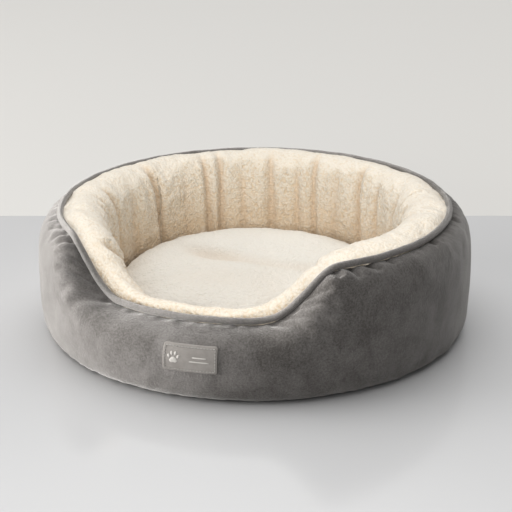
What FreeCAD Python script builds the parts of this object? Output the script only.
"""Round pet bed: a stuffed wall with a low entrance, and a loose cushion that lifts out.

Millimetres. Z is up, the floor is z = 0, the origin is under the bed's middle, and the entrance
faces -Y. Angles are measured round Z from the entrance, positive towards +X.
"""

import FreeCAD, Part
import math
import os

from FreeCAD import Vector

# ---------------------------------------------------------------- driving dimensions
OUTER_RADIUS = 280.0  # widest reach of the wall
BASE_RADIUS = 262.0  # seam between the wall and the base cloth
RIM_RADIUS = 250.0  # centre of the piping along the high rim
RIM_HEIGHT = 160.0  # centre of the piping at the back
FRONT_FALL = 9.0  # gentle fall of the rim from the back to the front
ENTRANCE_DEPTH = 64.0  # extra drop of the rim at the entrance
ENTRANCE_INSET = 11.0  # how far the low rim leans inwards
ENTRANCE_FLAT = 18.6  # half angle of the entrance's low stretch
ENTRANCE_EDGE = 42.2  # half angle where the rim is high again
CLIMB_POWER = 1.55  # above 1, the climb starts gently and ends briskly
SEAM_ANGLE = 115.0  # side seams that join the front and back panels

BULGE_HEIGHT = 65.0  # height of the widest reach
BULGE_DROP = 20.0  # the bulge sits this much lower at the entrance
BULGE_POWER = 3.0  # roundness of the wall's shoulders
BULGE_POWER_LOSS = 0.6

WELL_RADIUS = 187.0  # inner wall
CROWN_RISE = 8.0  # top of the plush above the piping's centre
CROWN_INSET = 28.0  # top of the plush inside the piping
SHOULDER_DROP = 50.0  # height over which the plush rounds into the wall
SHOULDER_POWER = 2.2
CROWN_NARROWS = 10.0  # the roll is this much narrower near the entrance
CROWN_ROUNDER = 0.5  # and rounder, by this power
NARROW_FROM, NARROW_TO = 66.0, 28.0  # over these angles from the entrance
CROWN_EASE = 8.0  # the stuffing turns the entrance's corners over this many degrees each way

OUTER_CLOTH = 2.0
LINING = 4.0
PIPING_RADIUS = 4.0
PIPING_BORE = 2.7
CORD_RADIUS = 2.5
FLANGE = 1.2
FLANGE_BOTTOM = 6.0  # under the piping's centre
SEAM_DROP = 5.0  # the fabrics meet this far under the piping's centre
SEAM_HALF = 0.8  # half the gap that the piping's flange fills
FILL_GAP = 0.4
THREAD_RADIUS = 0.5
SEAM_GAP = 1.1  # every seam is a narrow gap with its thread lying in it

WALL_BOTTOM = 0.6
BASE_CLOTH = 1.5
WADDING_BOTTOM, WADDING_TOP = 1.7, 9.5
FLOOR_BOTTOM, FLOOR_TOP = 9.7, 11.5
WADDING_RADIUS = 190.0

CUSHION_RADIUS = 183.0
CUSHION_BOTTOM = 12.0
CUSHION_SEAM = 47.0  # height of the cushion's seam
CUSHION_TOP = 82.0
CUSHION_FLAT = 140.0  # flat part of the underside
CUSHION_PILE = 4.0
CUSHION_UNDER = 2.0
CUSHION_POWER = 2.8

LABEL_ANGLE, LABEL_HEIGHT = 5.0, 54.0
LABEL_WIDTH, LABEL_TALL, LABEL_THICK = 65.0, 31.0, 1.2
STITCH_INSET, STITCH_PITCH, STITCH_LENGTH, STITCH_RADIUS = 2.6, 3.6, 2.5, 0.35
PATCH_GAP = 0.3  # air behind the label, so that it never bites into the cloth


# ---------------------------------------------------------------- the wall's shape
def entrance_share(angle):
    """1 along the low entrance, 0 along the high rim, and a smooth climb between them."""
    away = abs((angle + 180.0) % 360.0 - 180.0)
    t = (away - ENTRANCE_FLAT) / (ENTRANCE_EDGE - ENTRANCE_FLAT)
    t = min(1.0, max(0.0, t)) ** CLIMB_POWER
    return 1.0 - t * t * (3.0 - 2.0 * t)


def rim(angle):
    """Radius and height of the piping's centre."""
    share = entrance_share(angle)
    fall = FRONT_FALL * (1.0 + math.cos(math.radians(angle))) / 2.0
    return RIM_RADIUS - ENTRANCE_INSET * share, RIM_HEIGHT - fall - ENTRANCE_DEPTH * share


def place(angle, radius, height):
    a = math.radians(angle)
    return Vector(radius * math.sin(a), -radius * math.cos(a), height)


def shoulder(angle):
    """Height of the widest reach and the roundness above it."""
    share = entrance_share(angle)
    return BULGE_HEIGHT - BULGE_DROP * share, BULGE_POWER - BULGE_POWER_LOSS * share


def shoulder_curve(start, corner, end, power, count=8):
    """Evenly spaced points round a quarter of a superellipse, from start past corner to end."""
    centre = (start[0] + end[0] - corner[0], start[1] + end[1] - corner[1])
    fine = []
    for k in range(241):
        a = math.pi / 2.0 * k / 240.0
        c, s = max(math.cos(a), 0.0) ** (2.0 / power), math.sin(a) ** (2.0 / power)
        fine.append(
            tuple(centre[i] + (start[i] - centre[i]) * c + (end[i] - centre[i]) * s for i in (0, 1))
        )
    reach = [0.0]
    for here, there in zip(fine, fine[1:]):
        reach.append(reach[-1] + math.dist(here, there))
    picked = []
    for k in range(count + 1):
        wanted = reach[-1] * k / count
        picked.append(min(range(241), key=lambda i: abs(reach[i] - wanted)))
    return [fine[i] for i in picked]


def outer_profile(angle, inset):
    """(radius, height) points of the wall's outside, from the base seam up to the rim seam."""
    rim_radius, rim_height = rim(angle)
    middle, power = shoulder(angle)
    top_radius, top = rim_radius + SEAM_HALF, rim_height - SEAM_DROP - inset
    widest, low = OUTER_RADIUS - inset, WALL_BOTTOM + inset
    lower = shoulder_curve((BASE_RADIUS, low), (widest, low), (widest, middle), BULGE_POWER)
    upper = shoulder_curve((widest, middle), (widest, top), (top_radius, top), power)
    return lower + upper[1:]


def outer_radius(angle, height):
    """Radius of the wall's outside at one height."""
    rim_radius, rim_height = rim(angle)
    middle, power = shoulder(angle)
    top_radius, top = rim_radius + SEAM_HALF, rim_height - SEAM_DROP
    if height >= middle:
        rise = (1.0 - ((height - middle) / (top - middle)) ** power) ** (1.0 / power)
        return top_radius + (OUTER_RADIUS - top_radius) * rise
    fall = (1.0 - ((middle - height) / (middle - WALL_BOTTOM)) ** BULGE_POWER) ** (1.0 / BULGE_POWER)
    return BASE_RADIUS + (OUTER_RADIUS - BASE_RADIUS) * fall


def narrowing(angle):
    """0 round the back and 1 at the entrance, where the plush roll is narrow."""
    away = abs((angle + 180.0) % 360.0 - 180.0)
    t = min(1.0, max(0.0, (NARROW_FROM - away) / (NARROW_FROM - NARROW_TO)))
    return t * t * (3.0 - 2.0 * t)


def lining_profile(angle):
    """(radius, height) points of the plush, from the rim seam over the crown down to its hem."""
    rim_radius, rim_height = rim(angle)
    narrow = narrowing(angle)
    inset = CROWN_INSET - CROWN_NARROWS * narrow
    eased = (rim(angle - CROWN_EASE)[1] + 2.0 * rim_height + rim(angle + CROWN_EASE)[1]) / 4.0
    crown_radius, crown = rim_radius - inset, eased + CROWN_RISE
    points = [(rim_radius - SEAM_HALF, rim_height - 5.2), (rim_radius - 4.8, rim_height - 4.4)]
    bank = shoulder_curve(
        (rim_radius - 6.6, rim_height - 2.6), (rim_radius - 6.6, crown), (crown_radius, crown), 1.6, 4
    )
    points += bank[:-1]
    foot_of_shoulder = crown - SHOULDER_DROP
    points += shoulder_curve(
        (crown_radius, crown),
        (WELL_RADIUS, crown),
        (WELL_RADIUS, foot_of_shoulder),
        SHOULDER_POWER - CROWN_ROUNDER * narrow,
    )
    for k in (1, 2, 3):
        points.append((WELL_RADIUS, foot_of_shoulder + (FLOOR_BOTTOM - foot_of_shoulder) * k / 3.0))
    return points


def thicken(points, distance):
    """The same curve moved sideways, to the left of its own direction of travel."""
    moved = []
    last = len(points) - 1
    for i, (r, z) in enumerate(points):
        r0, z0 = points[max(i - 1, 0)]
        r1, z1 = points[min(i + 1, last)]
        if i == 0:
            r1, z1 = r0 - 1.0, z0  # the plush leaves the seam level
        length = math.hypot(r1 - r0, z1 - z0)
        moved.append((r - (z1 - z0) / length * distance, z + (r1 - r0) / length * distance))
    return moved


# ---------------------------------------------------------------- building blocks
def stations(first, last):
    """Section angles, close together where the rim climbs and wide apart elsewhere."""
    half = [6, 12, *range(16, 48, 2), 52, 60, 70, 82, 94, 105, 115, 127, 140, 153, 166]
    turn = [0, *half, 180, *(360 - a for a in reversed(half))]
    every = [a - 360 for a in turn] + turn + [a + 360 for a in turn]
    return [first, *(a for a in every if first < a < last), last]


def smooth(points):
    curve = Part.BSplineCurve()
    curve.interpolate(Points=points)
    return curve.toShape()


def poles(values, slopes, steps):
    """Poles of a piecewise cubic that has these values and slopes at its knots."""
    found = [values[0]]
    for i, step in enumerate(steps):
        found.append(values[i] + slopes[i] * (step / 3.0))
        found.append(values[i + 1] - slopes[i + 1] * (step / 3.0))
    return [*found, values[-1]]


def middle_slopes(values, steps):
    """Slopes that follow the neighbours on both sides."""
    lines = [(b - a) * (1.0 / h) for a, b, h in zip(values, values[1:], steps)]
    inner = [
        (before * h1 + after * h0) * (1.0 / (h0 + h1))
        for before, after, h0, h1 in zip(lines, lines[1:], steps, steps[1:])
    ]
    first = lines[0] * 1.5 - inner[0] * 0.5
    last = lines[-1] * 1.5 - inner[-1] * 0.5
    return [first, *inner, last]


def skin(angles, row):
    """A smooth surface through the rows of points that row(angle) gives."""
    reference = row(180.0)
    steps = [here.distanceToPoint(there) for here, there in zip(reference, reference[1:])]
    nudge = 0.25
    rows, drifts = [], []
    for angle in angles:
        here, before, after = row(angle), row(angle - nudge), row(angle + nudge)
        drift = [(b - a) * (0.5 / nudge) for a, b in zip(before, after)]
        rows.append(poles(here, middle_slopes(here, steps), steps))
        drifts.append(poles(drift, middle_slopes(drift, steps), steps))
    turns = [b - a for a, b in zip(angles, angles[1:])]
    columns = [poles(list(v), list(d), turns) for v, d in zip(zip(*rows), zip(*drifts))]
    surface = Part.BSplineSurface()
    u_knots, v_knots = [0.0], [0.0]
    for turn in turns:
        u_knots.append(u_knots[-1] + turn)
    for step in steps:
        v_knots.append(v_knots[-1] + step)
    u_mults, v_mults = ([4, *[2] * (len(k) - 2), 4] for k in (u_knots, v_knots))
    grid = [list(line) for line in zip(*columns)]
    surface.buildFromPolesMultsKnots(grid, u_mults, v_mults, u_knots, v_knots, False, False, 3, 3)
    return surface


def sewn(faces):
    shell = Part.makeShell(faces)
    shell.sewShape()
    solid = Part.makeSolid(shell)
    if solid.Volume < 0:
        solid.reverse()
    return solid


def edges_of(surface):
    """The first and last edge each way: across the rows, then along them."""
    u0, u1, v0, v1 = surface.bounds()
    curves = surface.uIso(u0), surface.uIso(u1), surface.vIso(v0), surface.vIso(v1)
    return [curve.toShape() for curve in curves]


def between(front, back):
    """The solid between two smooth surfaces of the same layout."""
    faces = [front.toShape(), back.toShape()]
    faces += [Part.makeRuledSurface(a, b) for a, b in zip(edges_of(front), edges_of(back))]
    return sewn(faces)


def panel(first, last, face, back, least_radius):
    """Cloth from one side seam to the next. Each edge stops half a seam gap short."""
    half_gap = math.degrees(SEAM_GAP / 2.0 / least_radius)
    angles = stations(first + half_gap, last - half_gap)
    return between(skin(angles, face), skin(angles, back))


def turned(runs):
    """A solid of revolution from a closed outline of (radius, height) runs."""
    edges = []
    for run in runs:
        vectors = [Vector(r, 0, z) for r, z in run]
        edges.append(smooth(vectors) if len(vectors) > 2 else Part.LineSegment(*vectors).toShape())
    face = Part.Face(Part.Wire(edges))
    return face.revolve(Vector(0, 0, 0), Vector(0, 0, 1), 360)


def disc(radius, bottom, top):
    return Part.makeCylinder(radius, top - bottom, Vector(0, 0, bottom))


def ring_thread(radius, height):
    return Part.makeTorus(radius, THREAD_RADIUS, Vector(0, 0, height))


# ---------------------------------------------------------------- the wall
def outer_row(inset):
    return lambda angle: [place(angle, r, z) for r, z in outer_profile(angle, inset)]


def lining_row(depth):
    return lambda angle: [place(angle, r, z) for r, z in thicken(lining_profile(angle), depth)]


def wall_filling():
    """The fibre between the two cloths, as two half rings sewn into one closed skin."""
    outside, inside = outer_row(OUTER_CLOTH + FILL_GAP), lining_row(LINING + FILL_GAP)
    low = WALL_BOTTOM + OUTER_CLOTH + FILL_GAP
    faces = []
    for first, last in ((0, 180), (180, 360)):
        angles = stations(first, last)
        out, inn = skin(angles, outside), skin(angles, inside)
        foot, rim_edge = edges_of(out)[2:]
        seam_edge, hem = edges_of(inn)[2:]
        corner = inn.vIso(inn.bounds()[3])
        corner.translate(Vector(0, 0, low - FLOOR_BOTTOM))
        corner = corner.toShape()
        faces += [out.toShape(), inn.toShape()]
        for pair in ((rim_edge, seam_edge), (hem, corner), (corner, foot)):
            faces.append(Part.makeRuledSurface(*pair))
    return sewn(faces)


def rim_spine():
    """A closed curve through the piping's centre."""
    curve = Part.BSplineCurve()
    points = [place(angle, *rim(angle)) for angle in range(0, 360, 3)]
    curve.interpolate(Points=points, PeriodicFlag=True)
    return curve


def along_rim(outline):
    """Sweeps an outline along the rim, upright all the way. It is given as (outward, up) from
    the piping's centre, where the entrance's middle is."""
    spine = rim_spine()
    start, run = spine.value(0.0), spine.tangent(0.0)[0]
    outward = Vector(0, -1, 0)
    upward = outward.cross(run)
    if upward.z < 0:
        upward = upward * -1.0
    wire = outline(lambda side, rise: start + outward * side + upward * rise, run)
    sweep = Part.BRepOffsetAPI.MakePipeShell(Part.Wire([spine.toShape()]))
    sweep.setBiNormalMode(Vector(0, 0, 1))
    sweep.add(wire)
    sweep.build()
    sweep.makeSolid()
    return sweep.shape()


def round_outline(radius, drop=0.0):
    def outline(at, run):
        return Part.Wire([Part.Circle(at(0.0, -drop), run, radius).toShape()])

    return outline


def keyhole_outline(at, run):
    half = FLANGE / 2.0
    root = -math.sqrt(PIPING_RADIUS**2 - half**2)
    right, left = at(half, root), at(-half, root)
    low_right, low_left = at(half, -FLANGE_BOTTOM), at(-half, -FLANGE_BOTTOM)
    edges = [
        Part.Arc(right, at(0.0, PIPING_RADIUS), left).toShape(),
        Part.LineSegment(left, low_left).toShape(),
        Part.LineSegment(low_left, low_right).toShape(),
        Part.LineSegment(low_right, right).toShape(),
    ]
    return Part.Wire(edges)


def piping_cover():
    """A tube of cloth round the cord, with the flange that is sewn into the seam."""
    return along_rim(keyhole_outline).cut(along_rim(round_outline(PIPING_BORE)))


def seam_thread(angle, profile):
    """A thread along one side seam, halfway through the cloth."""
    path = smooth([place(angle, r, z) for r, z in profile])
    start, run = path.valueAt(path.FirstParameter), path.tangentAt(path.FirstParameter)
    circle = Part.Wire([Part.Circle(start, run, THREAD_RADIUS).toShape()])
    return Part.Wire([path]).makePipeShell([circle], True, False)


def side_seam_threads():
    threads = []
    for angle in (-SEAM_ANGLE, SEAM_ANGLE):
        threads.append(seam_thread(angle, outer_profile(angle, OUTER_CLOTH / 2.0)[1:-1]))
        threads.append(seam_thread(angle, thicken(lining_profile(angle), LINING / 2.0)[5:-1]))
    return Part.makeCompound(threads)


# ---------------------------------------------------------------- the label
def on_wall(angle, height, stand_off):
    return place(angle, outer_radius(angle, height) + stand_off, height)


def label():
    """A patch that follows the curve of the wall's outside."""
    half_turn = math.degrees(LABEL_WIDTH / 2.0 / OUTER_RADIUS)
    heights = [LABEL_HEIGHT + LABEL_TALL * k / 6.0 for k in range(-3, 4)]
    angles = [LABEL_ANGLE + half_turn * k / 3.0 for k in range(-3, 4)]

    def layer(stand_off):
        return skin(angles, lambda angle: [on_wall(angle, z, stand_off) for z in heights])

    return between(layer(PATCH_GAP), layer(PATCH_GAP + LABEL_THICK))


def label_stitches():
    """A row of short stitches all round the label, just inside its edge."""
    across, up = LABEL_WIDTH - 2 * STITCH_INSET, LABEL_TALL - 2 * STITCH_INSET
    stand_off = PATCH_GAP + LABEL_THICK + STITCH_RADIUS + 0.05
    stitches = []

    def stitch(u, v, du, dv):
        ends = []
        for sign in (-0.5, 0.5):
            turn = math.degrees((u + sign * du * STITCH_LENGTH) / OUTER_RADIUS)
            z = LABEL_HEIGHT + v + sign * dv * STITCH_LENGTH
            ends.append(on_wall(LABEL_ANGLE + turn, z, stand_off))
        run = ends[1] - ends[0]
        stitches.append(Part.makeCylinder(STITCH_RADIUS, run.Length, ends[0], run))

    for length, other, du, dv in ((across, up, 1, 0), (up, across, 0, 1)):
        count = int(length / STITCH_PITCH)
        for k in range(count):
            s = (k + 0.5) * length / count - length / 2.0
            for side in (-other / 2.0, other / 2.0):
                stitch(*((s, side) if du else (side, s)), du, dv)
    return Part.makeCompound(stitches)


# ---------------------------------------------------------------- the cushion
def cushion_dome(inset):
    """Upper outline, from the middle out to the seam."""
    radius, top = CUSHION_RADIUS - inset, CUSHION_TOP - inset
    return shoulder_curve((0.0, top), (radius, top), (radius, CUSHION_SEAM), CUSHION_POWER, 10)


def cushion_bowl(inset, seam):
    """Lower outline, from the edge of the flat part out to the seam."""
    radius, low = CUSHION_RADIUS - inset, CUSHION_BOTTOM + inset
    return shoulder_curve((CUSHION_FLAT, low), (radius, low), (radius, seam), 2.0)


def cushion_top():
    face, back = cushion_dome(0.0), cushion_dome(CUSHION_PILE)
    return turned([face, [face[-1], back[-1]], back[::-1], [back[0], face[0]]])


def cushion_underside():
    seam = CUSHION_SEAM - SEAM_GAP
    face, back = cushion_bowl(0.0, seam), cushion_bowl(CUSHION_UNDER, seam)
    low, high = (0.0, face[0][1]), (0.0, back[0][1])
    return turned([[low, face[0]], face, [face[-1], back[-1]], back[::-1], [back[0], high], [high, low]])


def cushion_filling():
    top = cushion_dome(CUSHION_PILE + FILL_GAP)
    bottom = cushion_bowl(CUSHION_UNDER + FILL_GAP, CUSHION_SEAM)
    side, low = [top[-1], bottom[-1]], (0.0, bottom[0][1])
    return turned([top, side, bottom[::-1], [bottom[0], low], [low, top[0]]])


# ---------------------------------------------------------------- export
def export(name, shape):
    solids = shape.Solids
    if not solids or not all(s.isValid() and s.Volume > 0 for s in solids):
        raise RuntimeError(name + " is not a set of valid closed solids")
    body = solids[0] if len(solids) == 1 else Part.makeCompound(solids)
    body.exportStep(os.path.join("parts", name + ".step"))
    box = body.optimalBoundingBox()
    print(
        f"{name:26s} solids {len(solids):3d}  volume {body.Volume / 1000:10.2f} cm3"
        f"  z {box.ZMin:7.2f} to {box.ZMax:7.2f}  y {box.YMin:7.1f} to {box.YMax:7.1f}"
    )


def main():
    os.makedirs("parts", exist_ok=True)
    front, back = (-SEAM_ANGLE, SEAM_ANGLE), (SEAM_ANGLE, 360.0 - SEAM_ANGLE)
    outer, lining = (outer_row(0.0), outer_row(OUTER_CLOTH)), (lining_row(0.0), lining_row(LINING))
    in_gap = SEAM_GAP / 2.0
    export("outer_front_panel", panel(*front, *outer, RIM_RADIUS))
    export("outer_back_panel", panel(*back, *outer, RIM_RADIUS))
    export("lining_front_panel", panel(*front, *lining, WELL_RADIUS))
    export("lining_back_panel", panel(*back, *lining, WELL_RADIUS))
    export("wall_filling", wall_filling())
    export("rim_piping_cover", piping_cover())
    export("rim_piping_cord", along_rim(round_outline(CORD_RADIUS)))
    drop = FLANGE_BOTTOM + THREAD_RADIUS + 0.05
    export("rim_seam_thread", along_rim(round_outline(THREAD_RADIUS, drop)))
    export("side_seam_threads", side_seam_threads())
    export("base_cloth", disc(BASE_RADIUS - SEAM_GAP, 0.0, BASE_CLOTH))
    export("base_seam_thread", ring_thread(BASE_RADIUS - in_gap, BASE_CLOTH - THREAD_RADIUS))
    export("base_wadding", disc(WADDING_RADIUS, WADDING_BOTTOM, WADDING_TOP))
    export("floor_cloth", disc(WELL_RADIUS - SEAM_GAP, FLOOR_BOTTOM, FLOOR_TOP))
    export("floor_seam_thread", ring_thread(WELL_RADIUS - in_gap, (FLOOR_BOTTOM + FLOOR_TOP) / 2.0))
    export("front_label", label())
    export("label_stitching", label_stitches())
    export("cushion_top_panel", cushion_top())
    export("cushion_underside_panel", cushion_underside())
    export("cushion_filling", cushion_filling())
    export("cushion_seam_thread", ring_thread(CUSHION_RADIUS - 1.5, CUSHION_SEAM - in_gap))


main()
